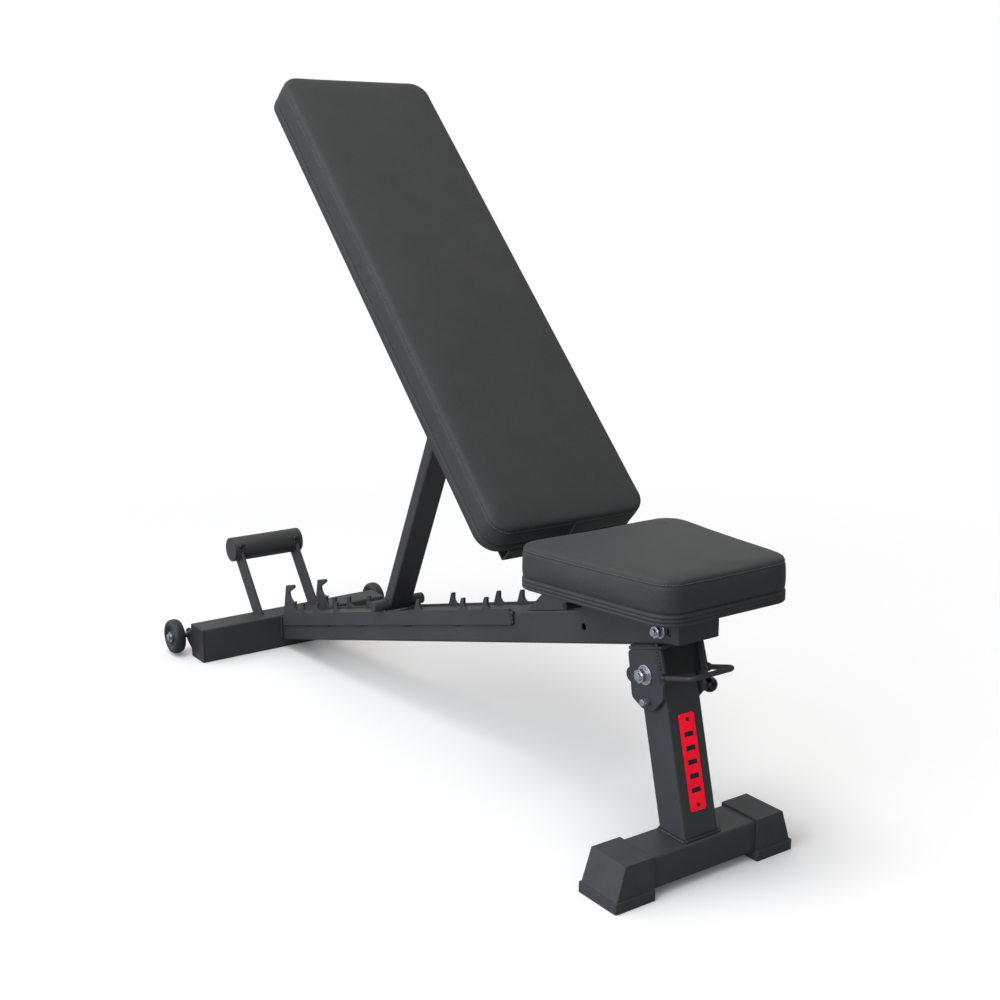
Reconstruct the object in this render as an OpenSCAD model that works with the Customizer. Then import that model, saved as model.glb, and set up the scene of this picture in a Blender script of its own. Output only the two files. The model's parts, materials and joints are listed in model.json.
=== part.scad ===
// Folding adjustable weight bench on a sloping main beam.
// Millimetres, +Z up, +Y towards the rear, +X towards the sitter's left.
// The origin is on the floor under the middle of the whole bench.
// Side profiles are drawn as [y, z] with y = 0 over the front foot, and placed() moves
// everything forward so that the origin lands in the middle.

/* [Main beam] */
// Slope of the beam, rising towards the front
beam_slope = 15.2; // [14.8:0.1:15.6]
// Width of the beam tube
beam_w = 70; // [68:1:72]
// Depth of the beam tube
beam_h = 54; // [50:1:56]
// Length of the beam
beam_len = 1279; // [1270:1:1285]
// Wall of the steel tubes
wall = 2.5; // [2:0.1:3]
// Thickness of the side plates and lugs
plate = 5; // [4:0.5:5]
// Radius of the round seat lock hole in the beam
lock_hole_r = 5.5; // [5:0.1:6]

/* [Rack] */
// Height of the rack valleys above the beam's datum line, which is 50 below its top
valley_h = 54; // [53:0.5:55]
// Height of the tooth tips above the beam's datum line
tip_h = 75; // [74:0.5:76]
// Front end of the rack, measured along the beam
rack_end = 881; // [870:1:890]
// Place of the strut's cross pin along the beam
rest_s = 451; // [450.6:0.1:451.6]

/* [Rear foot and wheels] */
// Front face of the rear foot, behind the front foot's centre
rear_y = 1241; // [1239:1:1243]
// Depth of the rear foot tube
rear_d = 60; // [56:1:62]
// Height of the rear foot tube
rear_h = 72; // [70:1:74]
// Half length of the rear foot with its caps
rear_half = 219; // [210:1:222]
// Radius of the wheels
wheel_r = 36.5; // [34:0.5:37]
// Width of a wheel
wheel_w = 24; // [22:1:26]

/* [Rear stand bar] */
// Radius of the round cross bar
bar_r = 26.3; // [24:0.1:27]
// Half length of the round cross bar
bar_half = 82; // [78:1:86]

/* [Front leg] */
// Lean of the post towards the rear
post_lean = 14; // [13.5:0.1:14.5]
// Width of the post tube
post_w = 68; // [66:1:68]
// Depth of the post tube
post_d = 54; // [52:1:54]
// Height of the leg pivot above the floor
leg_pivot_z = 291.2; // [290:0.1:292]
// Angle that the leg folds through
fold_angle = 86; // [80:1:88]
// Half length of a boot's outer edge from the centre
boot_half = 174; // [170:1:178]

/* [Backrest] */
// Angle of the backrest above the horizontal
back_angle = 45.9; // [45.5:0.1:46.3]
// Length of the backrest pad
back_len = 962; // [940:1:980]
// Width of the backrest pad
back_w = 298; // [290:1:304]
// Thickness of the backrest pad
back_t = 56; // [50:1:57]
// Distance from the backrest pivot to the pad's lower end
back_gap = 32; // [31:0.1:33]

/* [Seat] */
// Length of the seat pad
seat_len = 303; // [290:1:303]
// Width of the seat pad at the front
seat_front_w = 240; // [230:1:250]
// Width of the seat pad at the rear
seat_rear_w = 322; // [300:1:326]
// Thickness of the seat pad
seat_t = 60; // [54:1:61]
// Angle that the seat's rear can be lowered through
seat_drop = 10; // [8:0.1:10.2]

/* [Hidden] */
$fn = 48;

steel = [0.16, 0.17, 0.18];
zinc = [0.78, 0.80, 0.84];
rubber = [0.09, 0.09, 0.09];
plastic = [0.06, 0.06, 0.06];
vinyl = [0.23, 0.23, 0.23];
wood = [0.72, 0.58, 0.40];

gap = 0.3;            // room between pieces of different bodies
fit = 0.06;           // running clearance on the radius
eps = 0.5;            // overshoot of a cutting shape
big = 400;            // larger than any section that a cut goes through

bar_y = 1388;         // centre of the rear stand bar
bar_z = 189.2;
seat_front_y = -70.5; // front edge of the seat pad's underside

floor_z = -3;         // floor level in the drawn side profiles

beam_y = 1237;        // rear end of the beam's datum line
beam_z = 19;
beam_top = 50;        // beam's top above the datum line
beam_corner_r = 5;

rear_mid = rear_y + rear_d / 2;
wheel_y = 1330;
wheel_z = 37;
wheel_x = 243;
axle_r = 4;

foot_z = 10;          // underside of the front foot tube
foot_top = 60;
foot_d = 70;
foot_half = 148;
post_y = 1.5;         // where the post's axis meets the foot tube's top
post_up = (leg_pivot_z - foot_top) / cos(post_lean);
leg_pivot = [post_y + post_up * sin(post_lean), leg_pivot_z];
leg_bolt_r = 6;
leg_pin_r = 5;
pin_offset = [-8.9, -37.2];               // leg pull pin from the leg pivot
leg_pin = leg_pivot + pin_offset;
pin_arc_r = norm(pin_offset);
pin_arc_a = atan2(pin_offset[1], pin_offset[0]);
bracket_in = 37;                           // inner face of the leg bracket's side plates
bracket_out = bracket_in + plate;

rack_out = beam_w / 2 + plate;             // outer face of the rack plates
tooth_places = [127.5, 192, 278, 440, 597, 747, 819];

back_pivot = [305, 400];
back_bolt_r = 6;
back_rise = 11.3;                          // pad base above the backrest pivot
hinge_along = 399;                         // strut hinge from the pivot, along the pad
hinge_drop = 23.7;                         // strut hinge below the pivot's line
hinge_bolt_r = 5;
spine_w = 50;
spine_t = 20;
strut_w = 49;
strut_d = 25;
cross_pin_r = 10.5;
cross_pin_half = 55;

seat_pivot = [34.5, 363.6];
seat_bolt_r = 5;
seat_slope = -0.8;
seat_base = 44;                            // pad base above the seat pivot
seat_flange_in = beam_w / 2 + 0.5;
seat_flange_out = seat_flange_in + 3;
seat_pin = [219, 357];
seat_pin_r = 6;
seat_pin_from = turned(seat_pin - seat_pivot, -seat_slope);
seat_pin_arc_r = norm(seat_pin_from);
seat_pin_arc_a = atan2(seat_pin_from[1], seat_pin_from[0]);
seat_start = seat_front_y - seat_pivot[0];       // front edge of the pad, from the seat pivot
bevel = 7;                                 // rounding of a pad's top edge

// Foremost and rearmost points of the whole bench, and the middle between them.
y_first = seat_pivot[0] + seat_start * cos(seat_slope) - seat_base * sin(seat_slope);
y_last = bar_y + bar_r;
y_mid = (y_first + y_last) / 2;

// ---- points and outlines ----

function turned(p, a) = [p[0] * cos(a) - p[1] * sin(a), p[0] * sin(a) + p[1] * cos(a)];

// A point s along the beam from its rear end and h above its datum line, as [y, z].
function beam_point(s, h) = [beam_y, beam_z] + turned([-s, h], -beam_slope);

// A point of the backrest, measured along the pad and out from it, as [y, z].
function back_point(u, v) = back_pivot + turned([u, v], back_angle);

function unit(v) = v / norm(v);

// Points of the rounded corner at b, between a and c, as [y, z]; b[2] is its radius.
function corner(a, b, c) =
    let (
        p = [b[0], b[1]],
        u = unit([a[0], a[1]] - p),
        v = unit([c[0], c[1]] - p),
        half = acos(u * v) / 2,
        m = p + unit(u + v) * b[2] / sin(half),
        from = p + u * b[2] / tan(half) - m,
        to = p + v * b[2] / tan(half) - m,
        start = atan2(from[1], from[0]),
        sweep = (atan2(to[1], to[0]) - start + 540) % 360 - 180,
        steps = 8
    )
    [for (i = [0:steps]) m + b[2] * [cos(start + sweep * i / steps), sin(start + sweep * i / steps)]];

// An outline of [y, z, radius] corners as plain points.
function rounded(pts) =
    let (n = len(pts))
    [for (i = [0:n - 1]) each corner(pts[(i + n - 1) % n], pts[i], pts[(i + 1) % n])];

// One rack tooth: a sloping rear flank, a narrow tip and a hollow front flank.
function tooth(c) = concat(
    [[c - 21, valley_h], [c - 17, valley_h + 4.5], [c - 11.5, 67], [c - 7.2, tip_h - 2]],
    [[c - 6, tip_h - 0.6], [c + 1.4, tip_h - 0.6], [c + 2.2, tip_h - 1.5]],
    [for (a = [0:15:90]) [c + 9.5, valley_h + 10] + 10 * [-cos(a), -sin(a)]]
);

// The tall rear hook: a leaning back edge, a flat head, and a throat that ends on the lip of
// the first tooth.
hook = concat(
    [[16, 28], [58, 110.5], [60.5, 113.5], [95, 114], [97.8, 110.5], [95, 107]],
    [for (a = [100:-12.5:0]) [87.5, 96] + 18.6 * [-sin(a), -cos(a)]],
    [[91, 78.7], [92.8, 78.3], [93.2, 75.5], [88.6, 73], [87.6, 66], [89.4, 59.5], [94.5, valley_h]]
);

// ---- placing ----

module placed() {
    translate([0, -y_mid, -floor_z]) children();
}

// A side profile given thickness t, centred on x.
module side_plate(x, t) {
    translate([x, 0, 0]) rotate([90, 0, 90]) linear_extrude(t, center = true) children();
}

// A round rod across the bench at p = [y, z], from x0 to x1.
module cross_rod(p, x0, x1, r) {
    translate([x0, p[0], p[1]]) rotate([0, 90, 0]) cylinder(h = x1 - x0, r = r);
}

// A hexagonal head or nut across the bench.
module cross_hex(p, x0, x1, r) {
    translate([x0, p[0], p[1]]) rotate([0, 90, 0]) cylinder(h = x1 - x0, r = r, $fn = 6);
}

module rounded_rect(w, h, r) {
    square([w - 2 * r, h], center = true);
    square([w, h - 2 * r], center = true);
    for (x = [-1, 1], y = [-1, 1])
        translate([x * (w / 2 - r), y * (h / 2 - r)]) circle(r);
}

module tube_section(w, h, r) {
    difference() {
        rounded_rect(w, h, r);
        rounded_rect(w - 2 * wall, h - 2 * wall, r - wall + 0.5);
    }
}

// An arc-shaped slot of half width w round the profile's origin.
function toward(a) = [cos(a), sin(a)];

module arc_slot(r, w, a0, a1, n = 12) {
    polygon(concat(
        [for (i = [0:n]) (r + w) * toward(a0 + (a1 - a0) * i / n)],
        [for (i = [1:n - 1]) r * toward(a1) + w * toward(a1 + 180 * i / n)],
        [for (i = [0:n]) (r - w) * toward(a1 - (a1 - a0) * i / n)],
        [for (i = [1:n - 1]) r * toward(a0) + w * toward(a0 + 180 + 180 * i / n)]
    ));
}

// Local frame of the beam: x across, -y along it to the front, z up from its datum line.
module on_beam() {
    translate([0, beam_y, beam_z]) rotate([-beam_slope, 0, 0]) children();
}

// Local frame of the post: z along its axis from the foot tube's top.
module on_post() {
    translate([0, post_y, foot_top]) rotate([-post_lean, 0, 0]) children();
}

// Local frame of the backrest: origin on its pivot, y along the pad, z out of its face.
module on_back() {
    translate([0, back_pivot[0], back_pivot[1]]) rotate([back_angle, 0, 0]) children();
}

// Local frame of the seat: origin on its pivot, y to the rear, z up.
module on_seat() {
    translate([0, seat_pivot[0], seat_pivot[1]]) rotate([seat_slope, 0, 0]) children();
}

strut_foot = beam_point(rest_s, valley_h + cross_pin_r + gap);
strut_head = back_point(hinge_along, -hinge_drop);
strut_len = norm(strut_head - strut_foot);
strut_lean = atan2(strut_foot[0] - strut_head[0], strut_head[1] - strut_foot[1]);

// Local frame of the strut: z from its cross pin up to its hinge.
module on_strut() {
    translate([0, strut_foot[0], strut_foot[1]]) rotate([strut_lean, 0, 0]) children();
}

// ---- frame ----

module main_beam() {
    tail = 16;
    color(steel) placed() difference() {
        on_beam() translate([0, tail, beam_top - beam_h / 2]) rotate([90, 0, 0])
            linear_extrude(beam_len + tail) tube_section(beam_w, beam_h, beam_corner_r);
        translate([-big / 2, rear_y, -big / 2]) cube([big, big, big]);
        cross_rod([211, 321.6], -beam_w, beam_w, lock_hole_r);
        cross_rod(seat_pivot, -beam_w, beam_w, seat_bolt_r + fit);
    }
}

module beam_front_cap() {
    lip = 3;
    plug = 14;
    color(plastic) placed() on_beam()
        translate([0, -beam_len, beam_top - beam_h / 2]) rotate([90, 0, 0]) {
        linear_extrude(lip) rounded_rect(beam_w, beam_h, beam_corner_r);
        translate([0, 0, -plug]) linear_extrude(plug)
            rounded_rect(beam_w - 2 * wall, beam_h - 2 * wall, beam_corner_r - wall + 0.5);
    }
}

module rack_plate(side) {
    foot_h = 27;
    outline = concat(
        hook,
        [for (c = tooth_places) each tooth(c)],
        [[rack_end - 2, valley_h], [rack_end, valley_h - 2], [rack_end, foot_h]]
    );
    color(steel) placed() side_plate(side * (rack_out - plate / 2), plate)
        translate([beam_y, beam_z]) rotate(-beam_slope) mirror([1, 0]) polygon(outline);
}
module rack_plate_left() rack_plate(1);
module rack_plate_right() rack_plate(-1);

module gusset(side) {
    foot = 0.02;
    rear_low = beam_point((beam_y - 356) / cos(beam_slope) + 13.6, beam_top + foot);
    front_low = beam_point((beam_y - 196) / cos(beam_slope) + 13.6, beam_top + foot);
    outline = [
        [rear_low[0], rear_low[1], 1], [316, 349, 12], [318, 372, 20], [324, 400, 8],
        [318, 418, 14], [292, 418, 14], [286, 398, 14], [262, 367, 12],
        [front_low[0], 367, 8], [front_low[0], front_low[1], 1]
    ];
    color(steel) placed() difference() {
        side_plate(side * (beam_w / 2 - plate / 2), plate) polygon(rounded(outline));
        cross_rod(back_pivot, -beam_w, beam_w, back_bolt_r + fit);
        cross_rod(seat_pin, -beam_w, beam_w, seat_pin_r + fit);
    }
}
module gusset_left() gusset(1);
module gusset_right() gusset(-1);

module rear_foot_tube() {
    half = rear_half - 4;
    color(steel) placed() translate([0, rear_mid, floor_z + rear_h / 2]) rotate([90, 0, 90])
        linear_extrude(2 * half, center = true) tube_section(rear_d, rear_h, 4);
}

module rear_foot_caps() {
    lip = 4;
    plug = 16;
    color(plastic) placed() for (side = [-1, 1])
        translate([side * rear_half, rear_mid, floor_z + rear_h / 2]) rotate([0, -side * 90, 0]) {
            linear_extrude(lip) rounded_rect(rear_h, rear_d, 4);
            linear_extrude(lip + plug) rounded_rect(rear_h - 2 * wall, rear_d - 2 * wall, 2);
        }
}

module stand_bar() {
    color(steel) placed() difference() {
        cross_rod([bar_y, bar_z], -bar_half, bar_half, bar_r);
        cross_rod([bar_y, bar_z], -bar_half - eps, bar_half + eps, bar_r - wall);
    }
}

module stand_bar_discs() {
    color(steel) placed() for (side = [-1, 1])
        cross_rod([bar_y, bar_z], side * (bar_half - 2.5) - 2, side * (bar_half - 2.5) + 2, bar_r - wall);
}

// Two flat bars that overhang the foot tube's rear edge and run down its back a little.
module stand_struts() {
    flat_t = 6;
    flat_w = 37.6;
    lean = 52.9;
    x = 66.5;
    color(steel) placed() difference() {
        for (side = [-1, 1])
            side_plate(side * x, flat_t) translate([bar_y, bar_z]) rotate(lean)
                translate([-168, -17.3]) square([168, flat_w]);
        translate([-big / 2, rear_y - big, floor_z + rear_h - big]) cube([big, big + rear_d, big]);
        cross_rod([bar_y, bar_z], -bar_half, bar_half, bar_r);
    }
}

module wheel_brackets() {
    t = 6;
    x = 212;
    outline = [
        [rear_y + rear_d, 4, 1], [rear_y + rear_d, 50, 1], [wheel_y + 3, 50, 11],
        [wheel_y + 14, 37, 11], [wheel_y + 2, 22, 12]
    ];
    color(steel) placed() for (side = [-1, 1])
        difference() {
            side_plate(side * x, t) polygon(rounded(outline));
            cross_rod([wheel_y, wheel_z], -wheel_x, wheel_x, axle_r);
        }
}

module wheel_axles() {
    head = 5;
    color(zinc) placed() for (side = [-1, 1])
        translate([side * wheel_x, wheel_y, wheel_z]) rotate([0, side * 90, 0]) {
            translate([0, 0, -40]) cylinder(h = 40 + wheel_w / 2 + 1, r = axle_r);
            translate([0, 0, wheel_w / 2 - 0.7]) cylinder(h = head, r = 7.5, $fn = 6);
            translate([0, 0, -28]) cylinder(h = 28 - wheel_w / 2 + 0.7, r = 7);
            translate([0, 0, -39]) cylinder(h = 5, r = 7.5, $fn = 6);
        }
}

// Outline of the leg bracket's side plates under the beam.
module bracket_outline(tail) {
    under = beam_top - beam_h - plate;
    rear_top = beam_point((beam_y - 101.6) / cos(beam_slope), under);
    front_top = beam_point((beam_y - 33.6) / cos(beam_slope), under);
    polygon(rounded(concat(
        [
            [rear_top[0] + tail, rear_top[1] - tail * tan(beam_slope), 8],
            [front_top[0] - 2, front_top[1], 3], [15, 293, 10], [22, 284, 5],
            [20.5, 264, 10], [40, 240, 18]
        ],
        tail > 0 ? [[74, 231, 20], [108, 252, 20]] : [[64, 238, 12], [88, 249, 10]]
    )));
}

module bracket_plate_right() {
    color(steel) placed() difference() {
        side_plate(-bracket_in - plate / 2, plate) bracket_outline(0);
        cross_rod(leg_pivot, -big, 0, leg_bolt_r);
        cross_rod(leg_pin, -big, 0, leg_pin_r);
    }
}

module bracket_plate_left() {
    color(steel) placed() difference() {
        side_plate(bracket_in + plate / 2, plate) difference() {
            bracket_outline(8);
            translate(leg_pivot)
                arc_slot(pin_arc_r, leg_pin_r + gap, pin_arc_a - 0.6, pin_arc_a + fold_angle + 0.6);
        }
        cross_rod(leg_pivot, 0, big, leg_bolt_r);
    }
}

module bracket_front_plate() {
    t = 4;
    color(steel) placed() difference() {
        on_post() translate([-bracket_in, -post_d / 2 - 1 - t, post_up - 7])
            cube([2 * bracket_in, t, 90]);
        on_beam() translate([-big / 2, -beam_len - big / 2, beam_top - beam_h - plate - 0.5])
            cube([big, big, big]);
    }
}

module bracket_top_plate() {
    color(steel) placed() on_beam()
        translate([-bracket_out, -(beam_y - 30) / cos(beam_slope), beam_top - beam_h - plate])
            cube([2 * bracket_out, 72, plate - 0.5]);
}

module fold_lug() {
    eye = leg_pivot + turned(pin_offset, fold_angle);
    eye_r = 11.5;
    t = 2.5;
    color(steel) placed() difference() {
        side_plate(-bracket_in + t / 2, t) {
            translate(eye) circle(eye_r);
            polygon([eye + [-2, eye_r - 0.5], eye + [-14, 14], eye + [-14, -12], eye + [-2, -eye_r + 0.5]]);
        }
        cross_rod(eye, -big, 0, leg_pin_r + fit);
    }
}

module leg_pin_tip() {
    reach = 14;
    color(zinc) placed() cross_rod(leg_pin, -bracket_out - reach, -bracket_in, leg_pin_r);
}

// Bent round bar: two legs that run forward beside the front plate, and a cross bar.
module carry_handle() {
    rod_r = 4;
    bend_r = 14;
    leg_len = 56;
    x = bracket_out;
    root = [16.5, 299];
    color(steel) placed() translate([0, root[0], root[1]]) rotate([-beam_slope, 0, 0]) {
        for (side = [-1, 1]) {
            translate([side * x, 0, 0]) rotate([90, 0, 0]) cylinder(h = leg_len - bend_r, r = rod_r);
            translate([side * (x - bend_r), bend_r - leg_len, 0])
                rotate([0, 0, side > 0 ? -90 : 180]) rotate_extrude(angle = 90)
                    translate([bend_r, 0]) circle(rod_r);
        }
        translate([bend_r - x, -leg_len, 0]) rotate([0, 90, 0])
            cylinder(h = 2 * (x - bend_r), r = rod_r);
    }
}

module leg_pivot_bolt() {
    color(zinc) placed() {
        cross_rod(leg_pivot, -bracket_out - 17, bracket_out + 9, leg_bolt_r);
        cross_hex(leg_pivot, bracket_out + 2.5, bracket_out + 10, 11);
    }
}

module backrest_pivot_bolt() {
    color(zinc) placed() {
        cross_rod(back_pivot, -beam_w / 2 - 12, beam_w / 2 + 2, back_bolt_r);
        cross_hex(back_pivot, beam_w / 2 + gap, beam_w / 2 + 7, 10.5);
    }
}

module seat_pivot_bolt() {
    color(zinc) placed() {
        cross_rod(seat_pivot, -seat_flange_out - 16, seat_flange_out + 4, seat_bolt_r);
        cross_hex(seat_pivot, seat_flange_out + 2.4, seat_flange_out + 9, 9.5);
    }
}

module nut(p, x0, x1, r, bore) {
    difference() {
        cross_hex(p, x0, x1, r);
        cross_rod(p, x0 - eps, x1 + eps, bore);
    }
}

module pivot_nuts() {
    color(zinc) placed() {
        nut(leg_pivot, -bracket_out - 13, -bracket_out - 2.5, 11, leg_bolt_r);
        nut(back_pivot, -beam_w / 2 - 9, -beam_w / 2 - gap, 10.5, back_bolt_r);
        nut(seat_pivot, -seat_flange_out - 11, -seat_flange_out - 2.4, 9.5, seat_bolt_r);
    }
}

module washer(p, x0, x1, r, bore) {
    difference() {
        cross_rod(p, x0, x1, r);
        cross_rod(p, x0 - eps, x1 + eps, bore);
    }
}

module pivot_washers() {
    color(zinc) placed() for (side = [-1, 1]) {
        washer(leg_pivot, side * (bracket_out + 1.25) - 1.25, side * (bracket_out + 1.25) + 1.25,
            15, leg_bolt_r);
        washer(seat_pivot, side * (seat_flange_out + 1.3) - 1, side * (seat_flange_out + 1.3) + 1,
            11, seat_bolt_r);
    }
}

// ---- folding leg ----

module front_post() {
    color(steel) placed() difference() {
        on_post() difference() {
            translate([0, 0, -20]) linear_extrude(post_up + 20 + post_d / 2)
                tube_section(post_w, post_d, 5);
            difference() {
                translate([-post_w, -post_d, post_up]) cube([2 * post_w, 2 * post_d, post_d]);
                translate([-post_w, 0, post_up]) rotate([0, 90, 0])
                    cylinder(h = 2 * post_w, r = post_d / 2);
            }
        }
        translate([-big / 2, -big / 2, foot_top - big]) cube([big, big, big]);
        cross_rod(leg_pivot, -post_w, post_w, leg_bolt_r + fit);
        cross_rod(leg_pin, -post_w, post_w, leg_pin_r + fit);
    }
}

module front_foot_tube() {
    height = foot_top - foot_z;
    color(steel) placed() translate([0, 0, foot_z + height / 2]) rotate([90, 0, 90])
        linear_extrude(2 * foot_half, center = true) tube_section(foot_d, height, 4);
}

// Rubber boot with a flared outer end and a base flange.
module foot_boot(side) {
    inner = 101;
    top_outer = 154;
    top_z = 63;
    flange_z = 13;
    color(rubber) placed() difference() {
        union() {
            intersection() {
                rotate([90, 0, 0]) linear_extrude(big, center = true) polygon([
                    [side * inner, floor_z], [side * inner, top_z], [side * top_outer, top_z],
                    [side * (boot_half - 4), flange_z], [side * (boot_half - 4), floor_z]
                ]);
                rotate([90, 0, 90]) linear_extrude(big, center = true)
                    polygon([
                        [-39.5, floor_z], [-39.5, flange_z], [-38, top_z],
                        [38, top_z], [39.5, flange_z], [39.5, floor_z]
                    ]);
            }
            translate([side * (boot_half + inner - 1) / 2, 0, floor_z])
                linear_extrude(flange_z - floor_z) rounded_rect(boot_half - inner + 1, 84, 3);
        }
        translate([side > 0 ? inner - 10 : -foot_half, -foot_d / 2, foot_z])
            cube([foot_half - inner + 10, foot_d, foot_top - foot_z]);
    }
}
module foot_boot_left() foot_boot(1);
module foot_boot_right() foot_boot(-1);

badge_len = 143;
badge_w = 30;
badge_mid = 104;      // badge centre above the foot tube, along the post
badge_t = 1.5;

module badge_plate() {
    color("red") placed() on_post() translate([0, -post_d / 2, badge_mid]) rotate([90, 0, 0])
        linear_extrude(badge_t) rounded_rect(badge_w, badge_len, 4);
}

module badge_screws() {
    color(zinc) placed() on_post() for (end = [-1, 1])
        translate([0, -post_d / 2 - badge_t, badge_mid + end * (badge_len / 2 - 9)])
            rotate([90, 0, 0]) cylinder(h = 1.8, r = 3);
}

module leg_pin_shank() {
    color(zinc) placed() cross_rod(leg_pin, -post_w / 2 - 0.2, 72, leg_pin_r);
}

module leg_pin_knob() {
    ball_r = 12;
    color(plastic) placed() difference() {
        union() {
            translate([78, leg_pin[0], leg_pin[1]]) sphere(ball_r);
            cross_rod(leg_pin, bracket_out + gap, 70, 7.5);
        }
        cross_rod(leg_pin, 0, 72, leg_pin_r);
    }
}

// ---- backrest ----

cross_front = back_gap - 6;    // front face of the lower cross tube, from the pivot
cross_w = 30;
cross_half = 100;

module backrest_spine() {
    from = cross_front + cross_w;
    color(steel) placed() on_back() translate([0, from, back_rise - spine_t / 2]) rotate([-90, 0, 0])
        linear_extrude(700) tube_section(spine_w, spine_t, 4);
}

module cross_tube(y, t) {
    on_back() translate([0, y + cross_w / 2, back_rise - t / 2]) rotate([90, 0, 90])
        linear_extrude(2 * cross_half, center = true) tube_section(cross_w, t, 4);
}

module backrest_cross_lower() {
    color(steel) placed() difference() {
        cross_tube(cross_front, 28);
        pad_bolt_holes(pad_bolt_low);
    }
}

module backrest_cross_upper() {
    color(steel) placed() difference() {
        cross_tube(cross_front + cross_w + 700, spine_t);
        pad_bolt_holes(pad_bolt_high);
    }
}

pad_bolt_x = 75;
pad_bolt_r = 4;
pad_bolt_low = cross_front + 21.6;
pad_bolt_high = cross_front + cross_w * 1.5 + 700;

module pad_bolt_holes(y) {
    on_back() for (side = [-1, 1])
        translate([side * pad_bolt_x, y, -30]) cylinder(h = 60, r = pad_bolt_r);
}

module backrest_pad_bolts() {
    color(zinc) placed() on_back()
        for (side = [-1, 1], end = [[pad_bolt_low, 28], [pad_bolt_high, spine_t]])
            translate([side * pad_bolt_x, end[0], back_rise - end[1]]) {
                cylinder(h = end[1] + 10, r = pad_bolt_r);
                translate([0, 0, -5]) cylinder(h = 5, r = 8, $fn = 6);
            }
}

module backrest_lugs() {
    x = beam_w / 2 - plate - 0.5 - plate / 2;
    outline = [
        [-14, -14, 13], [cross_front, -back_rise - 4, 1], [cross_front, back_rise, 1], [-14, 14, 13]
    ];
    color(steel) placed() difference() {
        on_back() for (side = [-1, 1])
            side_plate(side * x, plate) polygon(rounded(outline));
        cross_rod(back_pivot, -beam_w, beam_w, back_bolt_r + fit);
    }
}

module backrest_sleeve() {
    half = beam_w / 2 - 2 * plate - 0.5;
    color(steel) placed() difference() {
        cross_rod(back_pivot, -half, half, 11);
        cross_rod(back_pivot, -half - eps, half + eps, back_bolt_r + fit);
    }
}

module strut_lugs() {
    outline = [
        [hinge_along - 20, back_rise - 4, 2], [hinge_along - 14, -hinge_drop - 14, 13],
        [hinge_along + 14, -hinge_drop - 14, 13], [hinge_along + 20, back_rise - 4, 2]
    ];
    color(steel) placed() difference() {
        on_back() for (side = [-1, 1])
            side_plate(side * (spine_w + plate) / 2, plate) polygon(rounded(outline));
        cross_rod(strut_head, -big / 2, big / 2, hinge_bolt_r);
    }
}

module strut_hinge_bolt() {
    face = spine_w / 2 + plate;
    color(zinc) placed() {
        cross_rod(strut_head, -face - 10, face, hinge_bolt_r);
        cross_hex(strut_head, face, face + 6.5, 9.5);
    }
}

module strut_hinge_nut() {
    face = spine_w / 2 + plate;
    color(zinc) placed() nut(strut_head, -face - 8, -face, 9.5, hinge_bolt_r);
}

board_t = 12;
board_inset = 9;

module backrest_board() {
    color(wood) placed() on_back() translate([0, back_gap + back_len / 2, back_rise]) difference() {
        linear_extrude(board_t) rounded_rect(back_w - 2 * board_inset, back_len - 2 * board_inset, 27);
        translate([0, -back_gap - back_len / 2, -back_rise]) {
            for (side = [-1, 1], y = [pad_bolt_low, pad_bolt_high])
                translate([side * pad_bolt_x, y, 0]) cylinder(h = back_rise + 10, r = pad_bolt_r);
        }
    }
}

module backrest_pad() {
    color(vinyl) placed() on_back() translate([0, back_gap + back_len / 2, back_rise]) difference() {
        union() {
            linear_extrude(back_t - bevel) rounded_rect(back_w, back_len, 36);
            translate([0, 0, back_t - bevel]) linear_extrude(bevel / 2)
                rounded_rect(back_w - bevel / 2, back_len - bevel / 2, 34);
            translate([0, 0, back_t - bevel / 2]) linear_extrude(bevel / 2)
                rounded_rect(back_w - 2 * bevel, back_len - 2 * bevel, 29);
        }
        translate([0, 0, -eps]) linear_extrude(board_t + eps)
            rounded_rect(back_w - 2 * board_inset, back_len - 2 * board_inset, 27);
    }
}

// ---- prop strut ----

module strut_tube() {
    tail = 6;
    color(steel) placed() difference() {
        on_strut() difference() {
            translate([0, 0, -tail]) linear_extrude(strut_len + tail + strut_d / 2)
                tube_section(strut_w, strut_d, 3.5);
            difference() {
                translate([-strut_w, -strut_d, strut_len]) cube([2 * strut_w, 2 * strut_d, strut_d]);
                translate([-strut_w, 0, strut_len]) rotate([0, 90, 0])
                    cylinder(h = 2 * strut_w, r = strut_d / 2);
            }
        }
        cross_rod(strut_foot, -big / 2, big / 2, cross_pin_r);
        cross_rod(strut_head, -big / 2, big / 2, hinge_bolt_r + 3);
    }
}

module strut_sleeve() {
    half = strut_w / 2;
    color(steel) placed() difference() {
        cross_rod(strut_head, -half, half, hinge_bolt_r + 3);
        cross_rod(strut_head, -half - eps, half + eps, hinge_bolt_r + fit);
    }
}

module strut_cross_pin() {
    color(steel) placed() cross_rod(strut_foot, -cross_pin_half, cross_pin_half, cross_pin_r);
}

// ---- seat ----

// Plan of the seat pad, shrunk by inset, with y along the bench.
function seat_plan(inset, r) = rounded([
    [-seat_front_w / 2 + inset, seat_start + inset, r],
    [seat_front_w / 2 - inset, seat_start + inset, r],
    [seat_rear_w / 2 - inset, seat_start + seat_len - inset, r],
    [-seat_rear_w / 2 + inset, seat_start + seat_len - inset, r]
]);

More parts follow.
